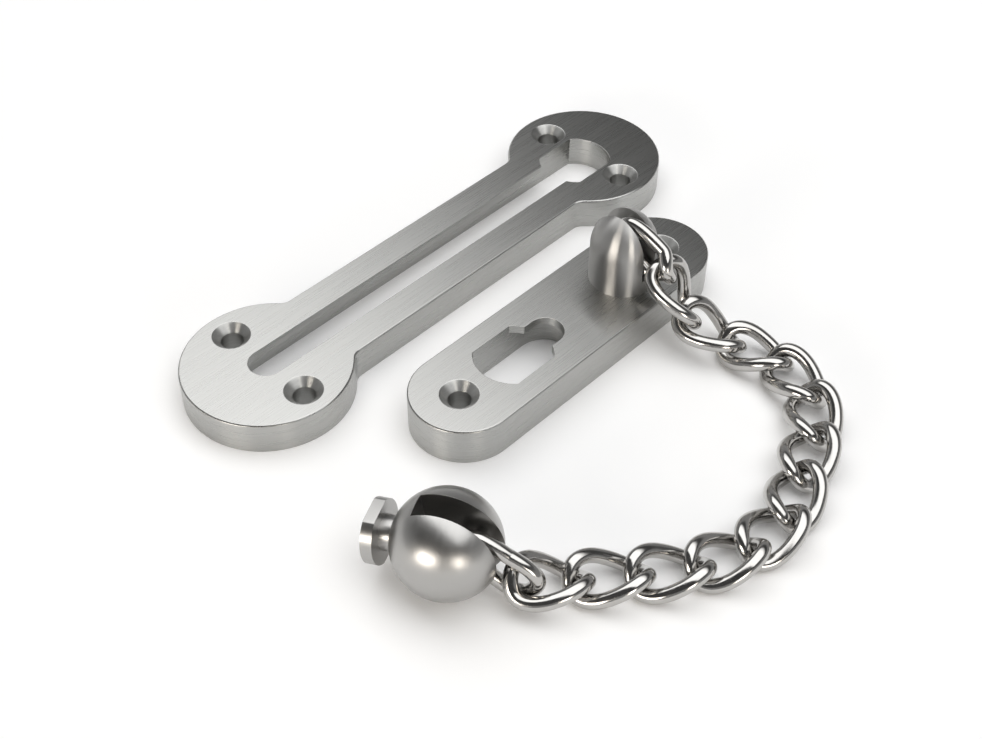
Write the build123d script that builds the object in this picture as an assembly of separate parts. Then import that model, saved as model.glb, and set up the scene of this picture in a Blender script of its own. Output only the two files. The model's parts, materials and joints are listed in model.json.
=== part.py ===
from build123d import *
import math
import os

os.makedirs("parts", exist_ok=True)

# A door chain: a track plate, an anchor plate with a slotted post, a curb chain and a slotted ball.
# Millimetres and degrees. The origin is the middle of the anchor plate's back, X runs along both
# plates, Y across them, and Z out of the door. Everything lies on the plane Z = 0.

# Plates
TRACK_SPAN = 98.0
TRACK_END_RADIUS = 18.0
TRACK_NECK_WIDTH = 22.0
TRACK_FILLET = 3.0
TRACK_THICKNESS = 7.4
TRACK_SCREW_SPACING = 22.8
TRACK_OFFSET = -2.4
PLATE_GAP = 6.2
ANCHOR_SPAN = 60.4
ANCHOR_WIDTH = 22.8
ANCHOR_THICKNESS = 8.8
ANCHOR_SCREW_SPACING = 63.0
LIP_THICKNESS = 2.0
EDGE_BREAK = 0.25

# Countersunk holes for wood screws
SCREW_HOLE_DIAMETER = 4.8
COUNTERSINK_DIAMETER = 8.1
COUNTERSINK_ANGLE = 90.0

# Keyholes. The flange goes in at the wide end, and its neck slides along the narrow one.
KEYHOLE_LENGTH = 16.8
TRACK_KEYHOLE_INSET = 3.2
ANCHOR_KEYHOLE_AT = -15.8
ANCHOR_SLOT_END = -6.0
NECK_PLAY = 0.5
FLANGE_PLAY = 0.2

# Ball, with its neck and flange. The dip is how far its axis points down toward the flange.
BALL_DIAMETER = 21.0
BALL_SLOT_DEPTH = 15.2
BALL_SLOT_WIDTH = 5.0
BALL_PIN_INSET = 4.9
BALL_DIP = 7.0
NECK_DIAMETER = 6.8
FLANGE_DIAMETER = 12.4
FLANGE_ACROSS_FLATS = 11.2
FLANGE_THICKNESS = 2.3
LIP_PLAY = 0.3

# Post, riveted over in the anchor plate's back
POST_AT = 18.2
POST_DIAMETER = 14.4
POST_HEIGHT = 17.3
POST_NOSE_HEIGHT = 8.5
POST_PIN_DROP = 5.1
POST_PIN_OFFSET = -2.3
POST_SLOT_DEPTH = 14.0
POST_SLOT_PLAY = 0.45
SPIGOT_DIAMETER = 6.0
RIVET_HEAD_DIAMETER = 8.0
RIVET_HEAD_HEIGHT = 1.0
SEAT_PLAY = 0.02

# Cross pins. Each hole is blind in the cheek that shows, and the pin is flush with the other one.
PIN_DIAMETER = 2.5
PIN_PLAY = 0.3
PIN_GRIP = 2.4

# Chain. The gap is how far two hooked wires stay apart where the chain is straight.
WIRE = 2.9
LINK_GAP = 0.3
LINK_PITCH = 11.3
LINK_INSIDE_WIDTH = 6.3
LINK_SQUARENESS = 2.6
LINK_TWIST = 45.0
LOOP_POINTS = 16
FIRST_LINK_PITCH = 10.0
FIRST_LINK_INSIDE_WIDTH = 3.9
FIRST_LINK_FAR_WIDTH = 6.5
FIRST_LINK_TWIST = 39.0
FIRST_LINK_TWIST_FROM = 2.5
END_LINK_PITCH = 11.2
END_LINK_INSIDE_WIDTH = 4.3
END_LINK_FAR_WIDTH = 6.4

# How the chain is laid out. A heading is a link's way along the chain as seen from above, a slope is
# how steeply it points down, a roll is how far it turns about its own length, and a slack is how
# far a bend lets its two links move into each other. The last lying link tips up toward the ball.
HANGING_HEADINGS = [-90.0, -84.6, -64.4]
HANGING_SLOPES = [26.5, 50.5, 25.5]
HANGING_ROLLS = [0.0, -16.0, 0.0]
HANGING_SLACKS = [0.3, 0.35, 0.45]
LYING_HEADINGS = [-79.0, -109.0, -139.0, -161.0, -154.5, -182.5, -203.0, -217.0, -221.0, -214.0]
BEND_SLACK = 0.5
BEND_OF_FULL_SLACK = 35.0
LAST_TIP = 13.0
END_HEADING = -245.0
END_SLACK = 1.6

# The hanging slopes are multiplied by one number, found between these limits to this precision.
STEEPNESS_LIMITS = (0.2, 1.8)
STEEPNESS_PRECISION = 1e-9

# The lean of a link that stands on its edge
UPRIGHT = 90.0


# Plates


def stadium(length, radius):
    """A bar with round ends, whose arcs are centred on the X axis, half the length each way."""
    half = length / 2
    return Rectangle(length, 2 * radius) + Pos(-half, 0) * Circle(radius) + Pos(half, 0) * Circle(radius)


def keyhole(wide_at, slot_end, slot_half, wide_half):
    """A slot that ends at slot_end and opens into a flat-sided round hole at wide_at."""
    slot = Pos((wide_at + slot_end) / 2, 0) * Rectangle(abs(wide_at - slot_end), 2 * slot_half)
    wide = Circle(KEYHOLE_LENGTH / 2) & Rectangle(KEYHOLE_LENGTH, 2 * wide_half)
    return slot + Pos(slot_end, 0) * Circle(slot_half) + Pos(wide_at, 0) * wide


def cut_keyhole(plate, thickness, wide_at, slot_end):
    """Cut the neck's keyhole right through, and the flange's channel in from the back."""
    slot_half = NECK_DIAMETER / 2 + NECK_PLAY
    wide_half = FLANGE_DIAMETER / 2 + FLANGE_PLAY
    through = extrude(keyhole(wide_at, slot_end, slot_half, wide_half), amount=thickness)
    channel = extrude(keyhole(wide_at, slot_end, wide_half, wide_half), amount=thickness - LIP_THICKNESS)
    return plate - through - channel


def screw_hole(thickness):
    """A countersunk through hole that opens at the plate's front."""
    hole_radius = SCREW_HOLE_DIAMETER / 2
    rim_radius = COUNTERSINK_DIAMETER / 2
    sink = (rim_radius - hole_radius) / math.tan(math.radians(COUNTERSINK_ANGLE / 2))
    hole = Pos(0, 0, thickness / 2) * Cylinder(hole_radius, thickness)
    return hole + Pos(0, 0, thickness - sink / 2) * Cone(hole_radius, rim_radius, sink)


def break_edges(plate):
    """Take the sharp corner off the rim of a plate's front face."""
    front = plate.faces().sort_by(Axis.Z)[-1]
    return chamfer(front.outer_wire().edges(), EDGE_BREAK)


def track_plate():
    """The door's plate, with its origin in the middle of its back."""
    half = TRACK_SPAN / 2
    neck = Rectangle(TRACK_SPAN, TRACK_NECK_WIDTH)
    outline = neck + Pos(-half, 0) * Circle(TRACK_END_RADIUS) + Pos(half, 0) * Circle(TRACK_END_RADIUS)
    waists = [v for v in outline.vertices() if round(abs(v.Y) - TRACK_NECK_WIDTH / 2, 3) == 0]
    outline = fillet(waists, TRACK_FILLET)
    plate = break_edges(extrude(outline, amount=TRACK_THICKNESS))
    plate = cut_keyhole(plate, TRACK_THICKNESS, half - TRACK_KEYHOLE_INSET, -half)
    hole = screw_hole(TRACK_THICKNESS)
    for x in (-half, half):
        for y in (-TRACK_SCREW_SPACING / 2, TRACK_SCREW_SPACING / 2):
            plate -= Pos(x, y) * hole
    return plate


def anchor_plate():
    """The frame's plate, with the seat of the post's spigot."""
    plate = break_edges(extrude(stadium(ANCHOR_SPAN, ANCHOR_WIDTH / 2), amount=ANCHOR_THICKNESS))
    plate = cut_keyhole(plate, ANCHOR_THICKNESS, ANCHOR_KEYHOLE_AT, ANCHOR_SLOT_END)
    for x in (-ANCHOR_SCREW_SPACING / 2, ANCHOR_SCREW_SPACING / 2):
        plate -= Pos(x, 0) * screw_hole(ANCHOR_THICKNESS)
    return plate - Pos(POST_AT, 0) * spigot(SEAT_PLAY)


# Post and its pin, both with the post's axis at the origin and the plate's back at Z = 0


def spigot(play):
    """The post's spigot and its riveted head, grown by play to give the plate's hole."""
    stem = Pos(0, 0, ANCHOR_THICKNESS / 2) * Cylinder(SPIGOT_DIAMETER / 2 + play, ANCHOR_THICKNESS)
    head = Cone(RIVET_HEAD_DIAMETER / 2 + play, SPIGOT_DIAMETER / 2 + play, RIVET_HEAD_HEIGHT)
    return stem + Pos(0, 0, RIVET_HEAD_HEIGHT / 2) * head


def post_blank():
    """The turned post above the plate: a straight base that runs into a pointed nose."""
    radius = POST_DIAMETER / 2
    shoulder = POST_HEIGHT - POST_NOSE_HEIGHT
    base = Polyline((0, POST_HEIGHT), (0, 0), (radius, 0), (radius, shoulder))
    nose = TangentArc((radius, shoulder), (0, POST_HEIGHT), tangent=(0, 1))
    profile = make_face([*base.edges(), nose])
    return Pos(0, 0, ANCHOR_THICKNESS) * revolve(Plane.XZ * profile, Axis.Z)


def post_slot_half():
    """Half the post's slot, which passes the first link's wire."""
    return WIRE / 2 + POST_SLOT_PLAY


def post_pin_height():
    return ANCHOR_THICKNESS + POST_HEIGHT - POST_PIN_DROP


def post_pin_rod(play):
    """A rod from inside the front cheek to beyond the rear one, grown by play to give the hole."""
    front = -post_slot_half() - PIN_GRIP
    rear = POST_DIAMETER
    rod = Cylinder(PIN_DIAMETER / 2 + play, rear - front, rotation=(0, 90, 0))
    return Pos((front + rear) / 2, POST_PIN_OFFSET, post_pin_height()) * rod


def post():
    top = ANCHOR_THICKNESS + POST_HEIGHT
    slot = Pos(0, 0, top - POST_SLOT_DEPTH / 2) * Box(2 * post_slot_half(), POST_DIAMETER, POST_SLOT_DEPTH)
    return post_blank() + spigot(0) - slot - post_pin_rod(SEAT_PLAY)


def post_pin():
    return post_pin_rod(0) & post_blank()


# Ball and its pin, both with the ball's centre at the origin and X toward the flange


def ball_pin_at():
    return BALL_PIN_INSET - BALL_DIAMETER / 2


def ball_pin_rod(play):
    """A rod from inside the cheek that shows to beyond the other one, grown by play."""
    rear = -BALL_DIAMETER
    front = BALL_SLOT_WIDTH / 2 + PIN_GRIP
    rod = Cylinder(PIN_DIAMETER / 2 + play, front - rear, rotation=(90, 0, 0))
    return Pos(ball_pin_at(), (front + rear) / 2, 0) * rod


def ball():
    """The ball with its slot, and the neck and flange that hook behind a plate's lip."""
    radius = BALL_DIAMETER / 2
    slot_half = NECK_DIAMETER / 2 + NECK_PLAY
    flange_at = math.sqrt(radius ** 2 - slot_half ** 2) + LIP_THICKNESS + LIP_PLAY
    neck = Pos(flange_at / 2, 0, 0) * Cylinder(NECK_DIAMETER / 2, flange_at, rotation=(0, 90, 0))
    disc = Cylinder(FLANGE_DIAMETER / 2, FLANGE_THICKNESS, rotation=(0, 90, 0))
    flange = disc & Box(FLANGE_THICKNESS, FLANGE_DIAMETER, FLANGE_ACROSS_FLATS)
    blank = Sphere(radius) + neck + Pos(flange_at + FLANGE_THICKNESS / 2, 0, 0) * flange
    slot = Box(BALL_SLOT_DEPTH, BALL_SLOT_WIDTH, BALL_DIAMETER)
    return blank - Pos(BALL_SLOT_DEPTH / 2 - radius, 0, 0) * slot - ball_pin_rod(SEAT_PLAY)


def ball_pin():
    return ball_pin_rod(0) & Sphere(BALL_DIAMETER / 2)


# Links, each with its middle at the origin and X along the chain


def hooked(inside_width):
    """Half the width of a link between its wire's centres."""
    return (inside_width + WIRE) / 2


def to_pin():
    """How far a link's end wire lies from the centre of the pin that it hangs on."""
    return PIN_DIAMETER / 2 + PIN_PLAY + WIRE / 2


def to_hook():
    """How far a link's end wire lies from the middle of its hook with the next link."""
    return (WIRE + LINK_GAP) / 2


def wire_link(half_length, half_width, lean):
    """A closed wire whose width and lean about the X axis both follow x."""
    power = LINK_SQUARENESS
    points = []
    for number in range(LOOP_POINTS):
        angle = 2 * math.pi * number / LOOP_POINTS
        along = abs(math.cos(angle) / half_length) ** power
        across = abs(math.sin(angle) / half_width(0)) ** power
        reach = (along + across) ** (-1 / power)
        x = reach * math.cos(angle)
        out = reach * math.sin(angle) * half_width(x) / half_width(0)
        tilt = math.radians(lean(x))
        points.append((x, out * math.cos(tilt), out * math.sin(tilt)))
    path = Spline(*points, periodic=True)
    link = None
    for start, end in ((0, 0.5), (0.5, 1)):
        half = path.trim(start, end)
        wire = sweep(Plane(origin=half @ 0, z_dir=half % 0) * Circle(WIRE / 2), path=half)
        link = wire if link is None else link + wire
    return link


def curb_link():
    """A link that is twisted evenly from end to end, so that its neighbours lie flat with it."""
    half_length = LINK_PITCH / 2 + to_hook()
    return wire_link(
        half_length,
        lambda x: hooked(LINK_INSIDE_WIDTH),
        lambda x: -LINK_TWIST * x / half_length,
    )


def first_link():
    """The link on the post's pin: upright and narrow in the slot, twisted and wider outside it."""
    half_length = (FIRST_LINK_PITCH + to_pin() + to_hook()) / 2
    near = hooked(FIRST_LINK_INSIDE_WIDTH)
    far = hooked(FIRST_LINK_FAR_WIDTH)

    def lean(x):
        part = max(0, (x - FIRST_LINK_TWIST_FROM) / (half_length - FIRST_LINK_TWIST_FROM))
        return UPRIGHT + FIRST_LINK_TWIST * part ** 2 * (3 - 2 * part)

    return wire_link(half_length, lambda x: near + (far - near) * (x / half_length + 1) / 2, lean)


def end_link():
    """The plain flat link, upright in the ball's slot."""
    half_length = (END_LINK_PITCH + to_pin() + to_hook()) / 2
    near = hooked(END_LINK_INSIDE_WIDTH)
    far = hooked(END_LINK_FAR_WIDTH)
    return wire_link(half_length, lambda x: near + (far - near) * max(0, -x / half_length), lambda x: UPRIGHT)


# How the chain lies


def turned(heading, slope):
    """The unit vector of a heading and a downward slope."""
    flat = math.cos(math.radians(slope))
    turn = math.radians(heading)
    return Vector(flat * math.cos(turn), flat * math.sin(turn), -math.sin(math.radians(slope)))


def link_plane(middle, heading, slope, roll=0):
    """The plane of a link there, with X along the chain, and Z up where the roll is 0."""
    along = turned(heading, slope)
    up = along.cross(Vector(0, 0, 1).cross(along))
    return Plane(origin=middle, x_dir=along, z_dir=up.rotate(Axis((0, 0, 0), along), roll))


def lay_chain(start, steepness):
    """The planes of link 1 to 13 and their hooks, with the hanging slopes times steepness."""
    level = len(LYING_HEADINGS) - 1
    headings = HANGING_HEADINGS + LYING_HEADINGS
    slopes = [steepness * slope for slope in HANGING_SLOPES] + [0.0] * level + [-LAST_TIP]
    rolls = HANGING_ROLLS + [0.0] * len(LYING_HEADINGS)
    bends = [after - before for before, after in zip(LYING_HEADINGS, LYING_HEADINGS[1:])]
    lying_slacks = [BEND_SLACK * (bend / BEND_OF_FULL_SLACK) ** 2 for bend in bends]
    slacks = HANGING_SLACKS + lying_slacks + [END_SLACK]
    half_first = (FIRST_LINK_PITCH + to_pin() + to_hook()) / 2
    before = half_first - to_pin()
    after = half_first - to_hook()
    planes = []
    hooks = [start]
    for heading, slope, roll, slack in zip(headings, slopes, rolls, slacks):
        along = turned(heading, slope)
        middle = hooks[-1] + along * before
        planes.append(link_plane(middle, heading, slope, roll))
        hooks.append(middle + along * (after - slack / 2))
        before = (LINK_PITCH - slack) / 2
        after = LINK_PITCH / 2
    return planes, hooks


def steepness_down_to(start, height):
    """The steepness that brings the hanging links down to the height where the chain lies."""
    low, high = STEEPNESS_LIMITS
    while high - low > STEEPNESS_PRECISION:
        middle = (low + high) / 2
        _, hooks = lay_chain(start, middle)
        if hooks[len(HANGING_SLOPES)].Z > height:
            low = middle
        else:
            high = middle
    return middle


def laid_out(curb):
    """The planes of the links and the ball, and the points where each hangs on the one before."""
    start = Vector(POST_AT, POST_PIN_OFFSET, post_pin_height())
    planes, hooks = lay_chain(start, steepness_down_to(start, curb.bounding_box().max.Z))

    # The tipped last link is raised until it too rests on the floor.
    lift = Vector(0, 0, -(planes[-1] * curb).bounding_box().min.Z)
    planes[-1] = planes[-1].move(Pos(lift))
    hooks[-1] += lift

    # The end link climbs from the last hook to the ball's pin, and the ball rests on the floor.
    pin_height = BALL_DIAMETER / 2 - ball_pin_at() * math.sin(math.radians(BALL_DIP))
    reach = END_LINK_PITCH - END_SLACK / 2
    climb = -math.degrees(math.asin((pin_height - hooks[-1].Z) / reach))
    along = turned(END_HEADING, climb)
    pin = hooks[-1] + along * reach
    half_length = (END_LINK_PITCH + to_pin() + to_hook()) / 2
    planes.append(link_plane(pin - along * (half_length - to_pin()), END_HEADING, climb))
    centre = pin - turned(END_HEADING, BALL_DIP) * ball_pin_at()
    planes.append(link_plane(centre, END_HEADING, BALL_DIP))
    hooks.append(pin)
    return planes, hooks


def whole_door_chain():
    """Every piece by name, in its place."""
    post_place = Pos(POST_AT, 0)
    track_y = ANCHOR_WIDTH / 2 + PLATE_GAP + TRACK_END_RADIUS
    pieces = {
        "track_plate": Pos(TRACK_OFFSET, track_y) * track_plate(),
        "anchor_plate": anchor_plate(),
        "post": post_place * post(),
        "post_pin": post_place * post_pin(),
    }
    curb = curb_link()
    planes, _ = laid_out(curb)
    first, *middles, end, ball_plane = planes
    pieces["link_01"] = first * first_link()
    for number, plane in enumerate(middles, start=2):
        pieces[f"link_{number:02}"] = plane * curb
    pieces["end_link"] = end * end_link()
    pieces["ball"] = ball_plane * ball()
    pieces["ball_pin"] = ball_plane * ball_pin()
    return pieces


for name, piece in whole_door_chain().items():
    export_step(piece, f"parts/{name}.step")
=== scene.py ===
# %% [markdown]
# A door chain in brushed and polished steel.
# The model comes in as a fixed frame of CAD parts. This script gives them their looks: brushed
# plates, a turned post and ball, and a polished curb chain on a white table.
# Nothing here moves a part. A finer piece that stands for a CAD part lies where that part lies.

# %% Load the frame
import json
import math

import bmesh
import bpy
import numpy as np
from mathutils import Matrix, Vector


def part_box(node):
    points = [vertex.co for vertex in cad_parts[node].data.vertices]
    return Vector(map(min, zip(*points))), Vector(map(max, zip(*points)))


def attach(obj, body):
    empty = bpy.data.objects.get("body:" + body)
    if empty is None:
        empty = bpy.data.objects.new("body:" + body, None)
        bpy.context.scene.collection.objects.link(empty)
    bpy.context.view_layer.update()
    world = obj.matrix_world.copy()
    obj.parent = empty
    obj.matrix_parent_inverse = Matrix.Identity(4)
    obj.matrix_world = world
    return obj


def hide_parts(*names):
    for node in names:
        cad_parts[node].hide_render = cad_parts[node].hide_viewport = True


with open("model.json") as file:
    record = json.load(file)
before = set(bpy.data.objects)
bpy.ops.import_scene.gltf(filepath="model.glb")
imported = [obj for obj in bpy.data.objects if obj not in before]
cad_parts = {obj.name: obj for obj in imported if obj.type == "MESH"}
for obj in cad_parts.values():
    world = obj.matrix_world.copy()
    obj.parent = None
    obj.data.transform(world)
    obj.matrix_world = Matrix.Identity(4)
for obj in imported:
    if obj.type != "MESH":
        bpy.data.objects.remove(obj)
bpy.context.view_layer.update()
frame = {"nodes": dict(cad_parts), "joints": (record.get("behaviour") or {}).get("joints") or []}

MM = 0.001
hinges = {joint["child"]: Vector(joint["pos_m"]) for joint in frame["joints"]}

# %% [markdown]
# The camera stands where the photographer's stood, about a third of a metre away and looking half
# down. An angle for the way it faces, one for how far it looks down and a small one for its roll
# say the same as a matrix would, and each can be read by itself.

# %% Camera
CAMERA_AT = Vector((-174.22, -144.12, 218.48)) * MM
CAMERA_HEADING = 0.8113
CAMERA_DOWN = 0.7854
CAMERA_ROLL = 0.0073
CAMERA_LENS = 53.83

camera = bpy.data.objects.new("camera", bpy.data.cameras.new("camera"))
bpy.context.scene.collection.objects.link(camera)
facing = Matrix.Rotation(-CAMERA_HEADING, 4, "Z") @ Matrix.Rotation(math.pi / 2 - CAMERA_DOWN, 4, "X")
camera.matrix_world = Matrix.Translation(CAMERA_AT) @ facing @ Matrix.Rotation(CAMERA_ROLL, 4, "Z")
camera.data.lens = CAMERA_LENS
camera.data.sensor_width = 36
camera.data.clip_start = 0.01
bpy.context.scene.camera = camera
print("camera", [round(v, 3) for v in camera.location], "lens", CAMERA_LENS)

# %% [markdown]
# Every finish below is built from a few nodes, so some helpers come first. One adds a node and sets
# its values, and small ones do sums, pick between two values or spread a value over a range. The
# grain is a noise on Object coordinates, drawn out into lines along the directions where its scale
# is small, and that is what brushed steel looks like. The last two tell a shader how high the lines
# stand and which way they run.

# %% Node helpers
NOISE_BAND = (0.3, 0.7)
MIX_SOCKETS = {"FLOAT": (2, 3, 0), "VECTOR": (4, 5, 1), "RGBA": (6, 7, 2)}


def add(tree, kind, inputs=(), **settings):
    """A new node with its settings made, and each input set to a value or linked to a socket."""
    made = tree.nodes.new(kind)
    for name, value in settings.items():
        setattr(made, name, value)
    for key, value in dict(inputs).items():
        if isinstance(value, bpy.types.NodeSocket):
            tree.links.new(value, made.inputs[key])
        else:
            made.inputs[key].default_value = value
    return made


def calculate(tree, operation, first, second=0.0):
    """The result of one sum of two numbers or sockets."""
    return add(tree, "ShaderNodeMath", {0: first, 1: second}, operation=operation).outputs[0]


def reckon(tree, operation, *terms):
    """The node that does one sum of vectors."""
    return add(tree, "ShaderNodeVectorMath", dict(enumerate(terms)), operation=operation)


def pick(tree, share, first, second, kind="FLOAT"):
    """The first value where share is 0, and the second where it is 1."""
    first_at, second_at, result = MIX_SOCKETS[kind]
    values = {0: share, first_at: first, second_at: second}
    return add(tree, "ShaderNodeMix", values, data_type=kind).outputs[result]


def spread(tree, value, low, high, smallest, largest, **settings):
    """A value that runs from low to high, spread over another range and held at its ends."""
    inputs = {"Value": value, "From Min": low, "From Max": high, "To Min": smallest, "To Max": largest}
    return add(tree, "ShaderNodeMapRange", inputs, **settings).outputs["Result"]


def grain(tree, place, scale, detail=2.0):
    """Noise with so many waves to the metre along each axis."""
    drawn = add(tree, "ShaderNodeMapping", {"Vector": place, "Scale": scale}).outputs[0]
    return add(tree, "ShaderNodeTexNoise", {"Vector": drawn, "Scale": 1.0, "Detail": detail}).outputs[0]


def vary(tree, noise, smallest, largest):
    """A value that follows a noise. The noise seldom leaves the band that it is spread from."""
    return spread(tree, noise, *NOISE_BAND, smallest, largest)


def steel(name, colour, stretch=0.0):
    """A bare metal material, its node tree and its shader, with highlights drawn out by stretch."""
    material = bpy.data.materials.new(name)
    material.use_nodes = True
    tree = material.node_tree
    shader = tree.nodes["Principled BSDF"]
    shader.inputs["Base Color"].default_value = (*colour, 1)
    shader.inputs["Metallic"].default_value = 1
    shader.inputs["Anisotropic"].default_value = stretch
    return material, tree, shader


def raise_lines(tree, shader, height, strength, depth):
    """Let the surface look as if it rose and fell with height."""
    bump = add(tree, "ShaderNodeBump", {"Height": height, "Strength": strength, "Distance": depth})
    tree.links.new(bump.outputs[0], shader.inputs["Normal"])


def brush_across(tree, shader, way):
    """Draw the highlights out along way, which lies across the brushed lines."""
    turned = add(tree, "ShaderNodeVectorTransform", {0: way}, vector_type="VECTOR",
                 convert_from="OBJECT", convert_to="WORLD")
    tree.links.new(turned.outputs[0], shader.inputs["Tangent"])


print("helpers ready")

# %% [markdown]
# The plates are milled from bar and brushed along their length. The grain of the face is drawn out
# along X. Round the edge it would break up into dots, so the side walls have a second grain, drawn
# out along the wall. Which one shows depends on which way the surface faces.
# Each countersink is cut by a tool that turns, so it has rings about its own hole, and its
# highlights are drawn outward across them. A plate's holes lie mirrored about its middle, so when
# the coordinates are folded there, one rule finds them all.

# %% Brushed plate steel
PLATE_COLOUR = (0.46, 0.46, 0.447)
PLATE_STRETCH = 0.9
FACE_GRAIN = (90.0, 5200.0, 5200.0)
WALL_GRAIN = (90.0, 90.0, 5200.0)
FACE_FROM = 0.5
ACROSS_FACE = (0, 1, 0)
ACROSS_WALL = (0, 0, 1)
BRUSHED_ROUGHNESS = (0.265, 0.3)
BRUSHED_SHADES = (0.93, 1.05)
LINE_STRENGTH = 0.06
LINE_DEPTH = 0.003 * MM
RING_WAVES = 16000.0
COUNTERSINK_RADIUS = 4.1 * MM
COUNTERSINK_RIM = 0.03 * MM
COUNTERSINK_ROUGHNESS = 0.34


def brushed_plate(name, middle, hole_at, top):
    """Steel brushed along X, with turned countersinks at hole_at and its mirror places about middle."""
    material, tree, shader = steel(name, PLATE_COLOUR, PLATE_STRETCH)
    texture = add(tree, "ShaderNodeTexCoord")
    place = texture.outputs["Object"]
    upward = add(tree, "ShaderNodeSeparateXYZ", {0: texture.outputs["Normal"]}).outputs["Z"]
    faces_up = calculate(tree, "GREATER_THAN", upward, FACE_FROM)
    across = pick(tree, faces_up, ACROSS_WALL, ACROSS_FACE, "VECTOR")
    fine = pick(tree, faces_up, grain(tree, place, WALL_GRAIN), grain(tree, place, FACE_GRAIN))

    from_middle = reckon(tree, "SUBTRACT", place, middle).outputs["Vector"]
    folded = reckon(tree, "ABSOLUTE", from_middle).outputs["Vector"]
    flat = reckon(tree, "MULTIPLY", folded, (1, 1, 0)).outputs["Vector"]
    reach = reckon(tree, "DISTANCE", flat, hole_at).outputs["Value"]
    folded_out = reckon(tree, "SUBTRACT", flat, hole_at).outputs["Vector"]
    sides = reckon(tree, "SIGN", from_middle).outputs["Vector"]
    outward = reckon(tree, "MULTIPLY", folded_out, sides).outputs["Vector"]
    height = add(tree, "ShaderNodeSeparateXYZ", {0: place}).outputs["Z"]
    near_hole = calculate(tree, "LESS_THAN", reach, COUNTERSINK_RADIUS)
    below_face = calculate(tree, "LESS_THAN", height, top - COUNTERSINK_RIM)
    in_hole = calculate(tree, "MULTIPLY", near_hole, below_face)
    rings = calculate(tree, "SINE", calculate(tree, "MULTIPLY", reach, RING_WAVES))

    mark = pick(tree, in_hole, fine, spread(tree, rings, -1.0, 1.0, *NOISE_BAND))
    raise_lines(tree, shader, mark, LINE_STRENGTH, LINE_DEPTH)
    gloss = pick(tree, in_hole, vary(tree, fine, *BRUSHED_ROUGHNESS), COUNTERSINK_ROUGHNESS)
    tree.links.new(gloss, shader.inputs["Roughness"])
    darker, lighter = [[share * part for part in PLATE_COLOUR] + [1] for share in BRUSHED_SHADES]
    shade = pick(tree, vary(tree, fine, 0.0, 1.0), darker, lighter, "RGBA")
    tree.links.new(shade, shader.inputs["Base Color"])
    brush_across(tree, shader, pick(tree, in_hole, across, outward, "VECTOR"))
    return material


TRACK_HOLE_AT = Vector((49.0, 11.4, 0)) * MM
ANCHOR_HOLE_AT = Vector((31.5, 0, 0)) * MM
track_low, track_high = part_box("track_plate")
anchor_low, anchor_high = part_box("anchor_plate")
track_steel = brushed_plate("track_steel", (track_low + track_high) / 2, TRACK_HOLE_AT, track_high.z)
anchor_steel = brushed_plate("anchor_steel", (anchor_low + anchor_high) / 2, ANCHOR_HOLE_AT, anchor_high.z)
print("plate tops at", round(track_high.z, 4), round(anchor_high.z, 4))

# %% [markdown]
# The post and the ball are turned in a lathe and then satined with a fine abrasive. Their lines run
# round the lathe's axis, so the grain is fine along that axis and slow across it. The ball hangs
# askew, and a Mapping node turns the pattern with it.

# %% Turned steel
TURNED_COLOUR = (0.42, 0.415, 0.405)
TURNED_ROUGHNESS = 0.32
POST_STRETCH = 0.98
BALL_STRETCH = 0.4
LATHE_GRAIN = (150.0, 150.0, 5200.0)
LATHE_GLOSS = (TURNED_ROUGHNESS - 0.04, TURNED_ROUGHNESS + 0.02)
LATHE_STRENGTH = 0.3
LATHE_DEPTH = 0.002 * MM
CLOUD_GRAIN = (260.0, 260.0, 260.0)
CLOUD_DETAIL = 4.0
CLOUD_ROUGHER = 0.04
UPRIGHT = (0, 0, 1)


def turned_steel(name, centre, axis_turn, axis, stretch):
    """Satin steel with fine lines round an axis, which is the Z axis of a frame turned by axis_turn."""
    material, tree, shader = steel(name, TURNED_COLOUR, stretch)
    place = add(tree, "ShaderNodeTexCoord").outputs["Object"]
    there = add(tree, "ShaderNodeMapping", {
        "Vector": place, "Location": centre, "Rotation": axis_turn,
    }, vector_type="TEXTURE").outputs[0]
    lines = grain(tree, there, LATHE_GRAIN)
    cloud = grain(tree, there, CLOUD_GRAIN, CLOUD_DETAIL)
    gloss = calculate(tree, "ADD", vary(tree, lines, *LATHE_GLOSS), vary(tree, cloud, 0.0, CLOUD_ROUGHER))
    tree.links.new(gloss, shader.inputs["Roughness"])
    raise_lines(tree, shader, lines, LATHE_STRENGTH, LATHE_DEPTH)
    brush_across(tree, shader, axis)
    return material


post_low, post_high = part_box("post")
post_steel = turned_steel("post_steel", (post_low + post_high) / 2, (0, 0, 0), UPRIGHT, POST_STRETCH)
BALL_DIP = math.radians(7)
BALL_PIN_TO_CENTRE = 5.6 * MM
end_way = (hinges["ball"] - hinges["end_link"]).normalized()
ball_heading = math.atan2(end_way.y, end_way.x)
ball_way = Vector((
    math.cos(BALL_DIP) * math.cos(ball_heading),
    math.cos(BALL_DIP) * math.sin(ball_heading),
    -math.sin(BALL_DIP),
))
ball_centre = hinges["ball"] + ball_way * BALL_PIN_TO_CENTRE
ball_turn = ball_way.to_track_quat("Z", "Y").to_euler()
ball_steel = turned_steel("ball_steel", ball_centre, ball_turn, ball_way, BALL_STRETCH)
print("ball centre", [round(v, 4) for v in ball_centre])

# %% [markdown]
# The chain is tumbled until it shines. Polished steel has no colour of its own to speak of: what
# shows is the room. A faint, slow waviness keeps the reflections from looking drawn with a ruler.

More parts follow.
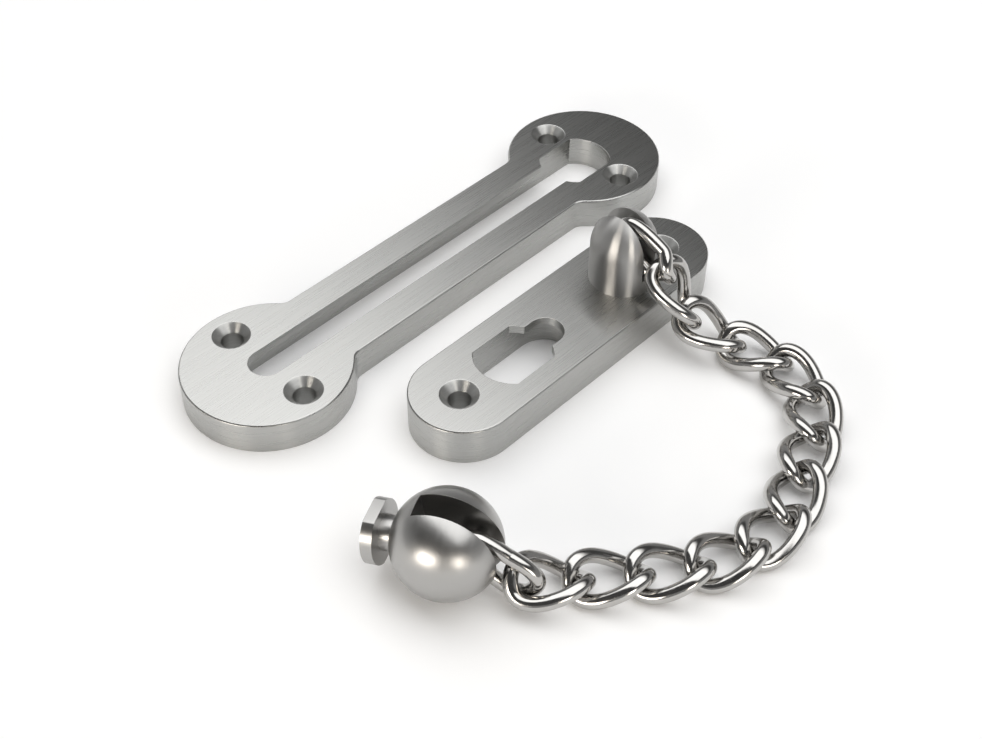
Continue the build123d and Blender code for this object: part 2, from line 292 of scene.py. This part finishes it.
# %% Polished chain steel
CHAIN_COLOUR = (0.48, 0.47, 0.455)
CHAIN_ROUGHNESS = (0.1, 0.2)
CHAIN_WAVES = (500.0, 500.0, 500.0)
CHAIN_DETAIL = 3.0
WAVE_STRENGTH = 0.25
WAVE_DEPTH = 0.05 * MM
chain_steel, tree, shader = steel("chain_steel", CHAIN_COLOUR)
place = add(tree, "ShaderNodeTexCoord").outputs["Object"]
waviness = grain(tree, place, CHAIN_WAVES, CHAIN_DETAIL)
tree.links.new(vary(tree, waviness, *CHAIN_ROUGHNESS), shader.inputs["Roughness"])
raise_lines(tree, shader, waviness, WAVE_STRENGTH, WAVE_DEPTH)
print("chain steel ready")

# %% [markdown]
# A chain link is a closed wire. The chain's links are twisted, which is what lets a curb chain lie
# flat. Modelling each one by hand would repeat one shape twelve times, and a circle pulled into
# shape would lose the even wire, so a Geometry Nodes tree makes them: a circle of points is moved on
# to a squarish oval, leaned about the long axis, and a round wire is run along it.
# The link on the post and the one in the ball follow the same rule with other numbers.

# %% Wire link tree
WIRE = 2.9 * MM
SQUARENESS = 2.6
ROUTE_POINTS = 128
WIRE_SIDES = 24
LINK_INPUTS = (
    "Half Length", "Half Width Start", "Half Width End", "Width From", "Width To",
    "Lean Start", "Lean End", "Lean From", "Lean To", "Wire Radius",
)


def wire_tree(name, interpolation, material):
    """A tree that makes a closed wire whose width and lean follow its place along X."""
    tree = bpy.data.node_groups.new(name, "GeometryNodeTree")
    for title in LINK_INPUTS:
        tree.interface.new_socket(title, in_out="INPUT", socket_type="NodeSocketFloat")
    tree.interface.new_socket("Geometry", in_out="OUTPUT", socket_type="NodeSocketGeometry")
    size = tree.nodes.new("NodeGroupInput").outputs
    ring = add(tree, "GeometryNodeCurvePrimitiveCircle", {"Resolution": ROUTE_POINTS})
    factor = add(tree, "GeometryNodeSplineParameter").outputs["Factor"]
    angle = calculate(tree, "MULTIPLY", factor, 2 * math.pi)
    cosine = calculate(tree, "COSINE", angle)
    sine = calculate(tree, "SINE", angle)

    def width_at(x):
        return spread(tree, x, size["Width From"], size["Width To"],
                      size["Half Width Start"], size["Half Width End"])

    def share(part, whole):
        bare = calculate(tree, "ABSOLUTE", calculate(tree, "DIVIDE", part, whole))
        return calculate(tree, "POWER", bare, SQUARENESS)

    middle_width = width_at(0.0)
    whole = calculate(tree, "ADD", share(cosine, size["Half Length"]), share(sine, middle_width))
    reach = calculate(tree, "POWER", whole, -1 / SQUARENESS)
    x = calculate(tree, "MULTIPLY", reach, cosine)
    widened = calculate(tree, "DIVIDE", width_at(x), middle_width)
    out = calculate(tree, "MULTIPLY", calculate(tree, "MULTIPLY", reach, sine), widened)
    lean = spread(tree, x, size["Lean From"], size["Lean To"], size["Lean Start"], size["Lean End"],
                  interpolation_type=interpolation)
    y = calculate(tree, "MULTIPLY", out, calculate(tree, "COSINE", lean))
    z = calculate(tree, "MULTIPLY", out, calculate(tree, "SINE", lean))
    place = add(tree, "ShaderNodeCombineXYZ", {0: x, 1: y, 2: z}).outputs[0]
    route = add(tree, "GeometryNodeSetPosition", {"Geometry": ring.outputs["Curve"], "Position": place})
    section = add(tree, "GeometryNodeCurvePrimitiveCircle", {
        "Resolution": WIRE_SIDES, "Radius": size["Wire Radius"],
    })
    wire = add(tree, "GeometryNodeCurveToMesh", {
        "Curve": route.outputs[0], "Profile Curve": section.outputs["Curve"],
    })
    smooth = add(tree, "GeometryNodeSetShadeSmooth", {"Geometry": wire.outputs[0]})
    whole_wire = add(tree, "GeometryNodeRealizeInstances", {"Geometry": smooth.outputs[0]})
    painted = add(tree, "GeometryNodeSetMaterial", {"Geometry": whole_wire.outputs[0], "Material": material})
    last = tree.nodes.new("NodeGroupOutput")
    tree.links.new(painted.outputs[0], last.inputs["Geometry"])
    return tree


curb_tree = wire_tree("evenly_twisted_wire", "LINEAR", chain_steel)
post_tree = wire_tree("late_twisted_wire", "SMOOTHSTEP", chain_steel)
print("link trees", len(curb_tree.nodes), "nodes each")

# %% [markdown]
# The tree needs a mesh to work on and a place to put its result. The modifier's inputs are set by
# each socket's identifier. Then the result is copied into a plain mesh, moved to where the CAD link
# is, and the modifier goes away with the object that carried it.

# %% Making a link
def made_by(tree, values):
    """The plain mesh that a tree makes with these input values."""
    carrier = bpy.data.objects.new("carrier", bpy.data.meshes.new("carrier"))
    bpy.context.scene.collection.objects.link(carrier)
    modifier = carrier.modifiers.new("nodes", "NODES")
    modifier.node_group = tree
    for socket in tree.interface.items_tree:
        if socket.in_out == "INPUT":
            modifier[socket.identifier] = float(values[socket.name])
    bpy.context.view_layer.update()
    mesh = bpy.data.meshes.new_from_object(carrier.evaluated_get(bpy.context.evaluated_depsgraph_get()))
    bpy.data.objects.remove(carrier)
    return mesh


def stand_for(mesh, node, body):
    """A piece made of a mesh that is already in place, which is shown for a CAD part."""
    piece = bpy.data.objects.new(f"{node}_look", mesh)
    bpy.context.scene.collection.objects.link(piece)
    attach(piece, body)
    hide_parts(node)
    return piece


def link_values(half_length, start, end, width_from, width_to, leans, lean_from):
    """The tree's inputs for one kind of link, in metres and radians."""
    return {
        "Half Length": half_length, "Half Width Start": start, "Half Width End": end,
        "Width From": width_from, "Width To": width_to,
        "Lean Start": math.radians(leans[0]), "Lean End": math.radians(leans[1]),
        "Lean From": lean_from, "Lean To": half_length, "Wire Radius": WIRE / 2,
    }


print("link tools ready")

# %% [markdown]
# A curb link looks the same after half a turn about its length, its width or its thickness, so its
# own triangles say where it lies: the middle of their area is the link's middle, and the directions
# in which they spread most and least are its length and its thickness.

# %% Curb links
HALF_PITCH = 5.65 * MM
TO_HOOK = 1.6 * MM
CURB_HALF_LENGTH = HALF_PITCH + TO_HOOK
CURB_HALF_WIDTH = 4.6 * MM
CURB_TWIST = 45
CURB_LINKS = [f"link_{number:02}" for number in range(2, 14)]


def place_of(node):
    """The matrix of a CAD part's middle and its long, wide and thin directions."""
    mesh = node.data
    points = np.empty(3 * len(mesh.vertices))
    mesh.vertices.foreach_get("co", points)
    corners = points.reshape(-1, 3)[[list(face.vertices) for face in mesh.polygons]]
    areas = np.array([face.area for face in mesh.polygons])[:, None]
    centres = corners.mean(axis=1)
    middle = (centres * areas).sum(axis=0) / areas.sum()
    away = centres - middle
    _, directions = np.linalg.eigh((away * areas).T @ away)
    long, thin = Vector(directions[:, 2]), Vector(directions[:, 0])
    wide = thin.cross(long)
    return Matrix.Translation(Vector(middle)) @ Matrix((long, wide, thin)).transposed().to_4x4()


curb_values = link_values(
    CURB_HALF_LENGTH, CURB_HALF_WIDTH, CURB_HALF_WIDTH, -CURB_HALF_LENGTH, CURB_HALF_LENGTH,
    (CURB_TWIST, -CURB_TWIST), -CURB_HALF_LENGTH,
)
curb_mesh = made_by(curb_tree, curb_values)
for name in CURB_LINKS:
    mesh = curb_mesh.copy()
    mesh.transform(place_of(frame["nodes"][name]))
    stand_for(mesh, name, name)
print("curb links", len(CURB_LINKS), "with", len(curb_mesh.polygons), "faces each")

# %% [markdown]
# The link on the post stands on edge in the slot and twists only outside it. The link in the ball
# is plain and flat. Neither is alike at both ends, so their hinges place them: each hangs from
# the middle of one hinge and points at the next.

# %% The two end links
TO_PIN = 3.0 * MM
FIRST_HOOK_SPAN = 10.0 * MM
FIRST_HALF_WIDTHS = (3.4 * MM, 4.7 * MM)
FIRST_LEANS = (90, 129)
FIRST_TWIST_FROM = 2.5 * MM
END_HOOK_SPAN = 11.2 * MM
END_HALF_WIDTHS = (4.65 * MM, 3.6 * MM)
END_LEANS = (90, 90)
FIRST_HALF_LENGTH = (FIRST_HOOK_SPAN + TO_PIN + TO_HOOK) / 2
END_HALF_LENGTH = (END_HOOK_SPAN + TO_PIN + TO_HOOK) / 2


def upright_place(middle, way):
    """The matrix of a link at middle that points along way, with its Z as upright as it can be."""
    up = way.cross(Vector((0, 0, 1)).cross(way)).normalized()
    return Matrix.Translation(middle) @ Matrix((way, up.cross(way), up)).transposed().to_4x4()


first_way = (hinges["link_02"] - hinges["link_01"]).normalized()
first_middle = hinges["link_01"] + first_way * (FIRST_HALF_LENGTH - TO_PIN)
end_middle = hinges["ball"] - end_way * (END_HALF_LENGTH - TO_PIN)
first_values = link_values(
    FIRST_HALF_LENGTH, *FIRST_HALF_WIDTHS, -FIRST_HALF_LENGTH, FIRST_HALF_LENGTH,
    FIRST_LEANS, FIRST_TWIST_FROM,
)
end_values = link_values(END_HALF_LENGTH, *END_HALF_WIDTHS, -END_HALF_LENGTH, 0, END_LEANS, 0)
for name, tree, values, middle, way in (
    ("link_01", post_tree, first_values, first_middle, first_way),
    ("end_link", curb_tree, end_values, end_middle, end_way),
):
    mesh = made_by(tree, values)
    mesh.transform(upright_place(middle, way))
    stand_for(mesh, name, name)
    print(name, "faces", len(mesh.polygons))

# %% [markdown]
# The solid parts keep their CAD shapes. A CAD mesh is loose triangles with knife edges, and a real
# milled edge is never that sharp: it catches a thin line of light. So each solid part is copied, its
# corners are merged, and a small bevel is put on the edges that turn sharply.

# %% Solid parts
WELD_WITHIN = 0.0005 * MM
FLAT_WITHIN = math.radians(0.5)
EDGE_ROUND = 0.1 * MM
EDGE_STEPS = 3
SHARP_TURN = math.radians(35)
SOLIDS = (
    ("track_plate", "anchor", track_steel, "satin_steel"),
    ("anchor_plate", "anchor", anchor_steel, "satin_steel"),
    ("post", "anchor", post_steel, "turned_steel"),
    ("post_pin", "anchor", post_steel, "chain_steel"),
    ("ball", "ball", ball_steel, "turned_steel"),
    ("ball_pin", "ball", ball_steel, "chain_steel"),
)


def merged_copy(node):
    """A CAD part's mesh with its loose triangles joined and no materials."""
    mesh = node.data.copy()
    mesh.materials.clear()
    work = bmesh.new()
    work.from_mesh(mesh)
    bmesh.ops.remove_doubles(work, verts=work.verts, dist=WELD_WITHIN)
    bmesh.ops.dissolve_limit(work, angle_limit=FLAT_WITHIN, verts=work.verts, edges=work.edges)
    work.to_mesh(mesh)
    work.free()
    return mesh


for name, body, material, slot in SOLIDS:
    mesh = merged_copy(frame["nodes"][name])
    mesh.materials.append(material)
    piece = stand_for(mesh, name, body)
    mesh.shade_smooth()
    bevel = piece.modifiers.new("edge", "BEVEL")
    bevel.width = EDGE_ROUND
    bevel.segments = EDGE_STEPS
    bevel.limit_method = "ANGLE"
    bevel.angle_limit = SHARP_TURN
    bevel.use_clamp_overlap = True
    weighted = piece.modifiers.new("even_shading", "WEIGHTED_NORMAL")
    weighted.keep_sharp = True
    print(name, "faces", len(mesh.polygons))

# %% [markdown]
# The table is plain white. Under these lamps alone it would come out grey, most of all far from
# them, so what the camera and the shiny parts see of it also glows a little. The glow grows with
# distance: a soft shadow still shows under each part, and the far table is as white as paper.

# %% Table
FLOOR_HALF = 3.0
FLOOR_DROP = 0.02 * MM
FLOOR_COLOUR = (0.95, 0.95, 0.95, 1)
FLOOR_ROUGHNESS = 0.9
NEAR_GLOW = 0.07
FAR_GLOW = 1.0
GLOW_FROM = 0.3
GLOW_TO = 1.0
floor_mesh = bpy.data.meshes.new("floor")
corners = [(x, y, -FLOOR_DROP) for x, y in ((-1, -1), (1, -1), (1, 1), (-1, 1))]
floor_mesh.from_pydata([(x * FLOOR_HALF, y * FLOOR_HALF, z) for x, y, z in corners], [], [(0, 1, 2, 3)])
floor = bpy.data.objects.new("floor", floor_mesh)
bpy.context.scene.collection.objects.link(floor)

floor_white = bpy.data.materials.new("floor_white")
floor_white.use_nodes = True
tree = floor_white.node_tree
shader = tree.nodes["Principled BSDF"]
shader.inputs["Base Color"].default_value = FLOOR_COLOUR
shader.inputs["Roughness"].default_value = FLOOR_ROUGHNESS
shader.inputs["Specular IOR Level"].default_value = 0.0
path = add(tree, "ShaderNodeLightPath").outputs
seen = calculate(tree, "MAXIMUM", path["Is Camera Ray"], path["Is Glossy Ray"])
seen = calculate(tree, "MAXIMUM", seen, path["Is Transmission Ray"])
spot = add(tree, "ShaderNodeTexCoord").outputs["Object"]
distance = reckon(tree, "LENGTH", spot).outputs["Value"]
strength = spread(tree, distance, GLOW_FROM, GLOW_TO, NEAR_GLOW, FAR_GLOW)
glow = add(tree, "ShaderNodeEmission", {"Strength": calculate(tree, "MULTIPLY", seen, strength)})
both = add(tree, "ShaderNodeAddShader", {0: shader.outputs[0], 1: glow.outputs[0]})
tree.links.new(both.outputs[0], tree.nodes["Material Output"].inputs["Surface"])
floor_mesh.materials.append(floor_white)
print("floor", 2 * FLOOR_HALF, "metres wide")

# %% [markdown]
# Metal shows the room, so the room is what lights it. A wide soft ceiling ends a little beyond the
# object, and past its edge the room is dim. That is why the far ends of the plates look almost
# black while the near ends are pale. Two low, warm windows, one to the left of the camera and one to
# its right, draw the two bright streaks down the post. The walls of the room are a little brighter
# than what is overhead, so that plates seen from low down aren't black.

# %% Room
OVERHEAD_LEVEL = 0.07
WALL_LEVEL = 0.32
WALLS_END = 0.35
OVERHEAD_FROM = 0.5
BACKGROUND_LEVEL = 1.0
world = bpy.data.worlds.new("room")
world.use_nodes = True
bpy.context.scene.world = world
tree = world.node_tree
on_camera = add(tree, "ShaderNodeLightPath").outputs["Is Camera Ray"]
ray_way = add(tree, "ShaderNodeTexCoord").outputs["Generated"]
upward = add(tree, "ShaderNodeSeparateXYZ", {0: ray_way}).outputs["Z"]
walls = spread(tree, upward, WALLS_END, OVERHEAD_FROM, WALL_LEVEL, OVERHEAD_LEVEL)
level = pick(tree, on_camera, walls, BACKGROUND_LEVEL)
tree.links.new(level, tree.nodes["Background"].inputs["Color"])

WHITE = (1.0, 1.0, 1.0)
WARM = (1.0, 0.93, 0.84)
SOFTBOXES = (
    ("ceiling", (0.27, 0.075, 0.9), (0.27, 0.075, 0), (1.14, 2.05), 2.1, WHITE),
    ("left_window", (-0.87, -0.09, 0.2), (0, 0, 0.01), (0.42, 0.26), 9.0, WARM),
    ("right_window", (-0.4, -0.86, 0.2), (0, 0, 0.01), (0.26, 0.3), 6.0, WARM),
)
for name, at, aim, size, level, colour in SOFTBOXES:
    lamp = bpy.data.lights.new(name, "AREA")
    lamp.shape = "RECTANGLE"
    lamp.size, lamp.size_y = size
    lamp.color = colour
    lamp.energy = level * math.pi * lamp.size * lamp.size_y
    holder = bpy.data.objects.new(name, lamp)
    bpy.context.scene.collection.objects.link(holder)
    holder.location = at
    holder.rotation_mode = "QUATERNION"
    holder.rotation_quaternion = (Vector(aim) - Vector(at)).to_track_quat("-Z", "Y")
    print(name, "power", round(lamp.energy, 2))

# %% [markdown]
# The ceiling isn't evenly bright: it fades toward its far edge. A lamp can have nodes too. Parametric
# tells where on the lamp a ray lands, from 0 to 1 along each side, and the strength falls from there.
# The view transform is the plain one, so that a colour comes out as it is written.

# %% Fading ceiling
FADE_FROM = 0.66
FADED_STRENGTH = 0.03
ceiling = bpy.data.lights["ceiling"]
ceiling.use_nodes = True
tree = ceiling.node_tree
where = add(tree, "ShaderNodeNewGeometry").outputs["Parametric"]
along = add(tree, "ShaderNodeSeparateXYZ", {0: where}).outputs["X"]
fading = spread(tree, along, FADE_FROM, 1.0, 1.0, FADED_STRENGTH)
tree.links.new(fading, tree.nodes["Emission"].inputs["Strength"])
bpy.context.scene.view_settings.view_transform = "Standard"
print("ceiling fades over", round((1 - FADE_FROM) * ceiling.size, 2), "metres")
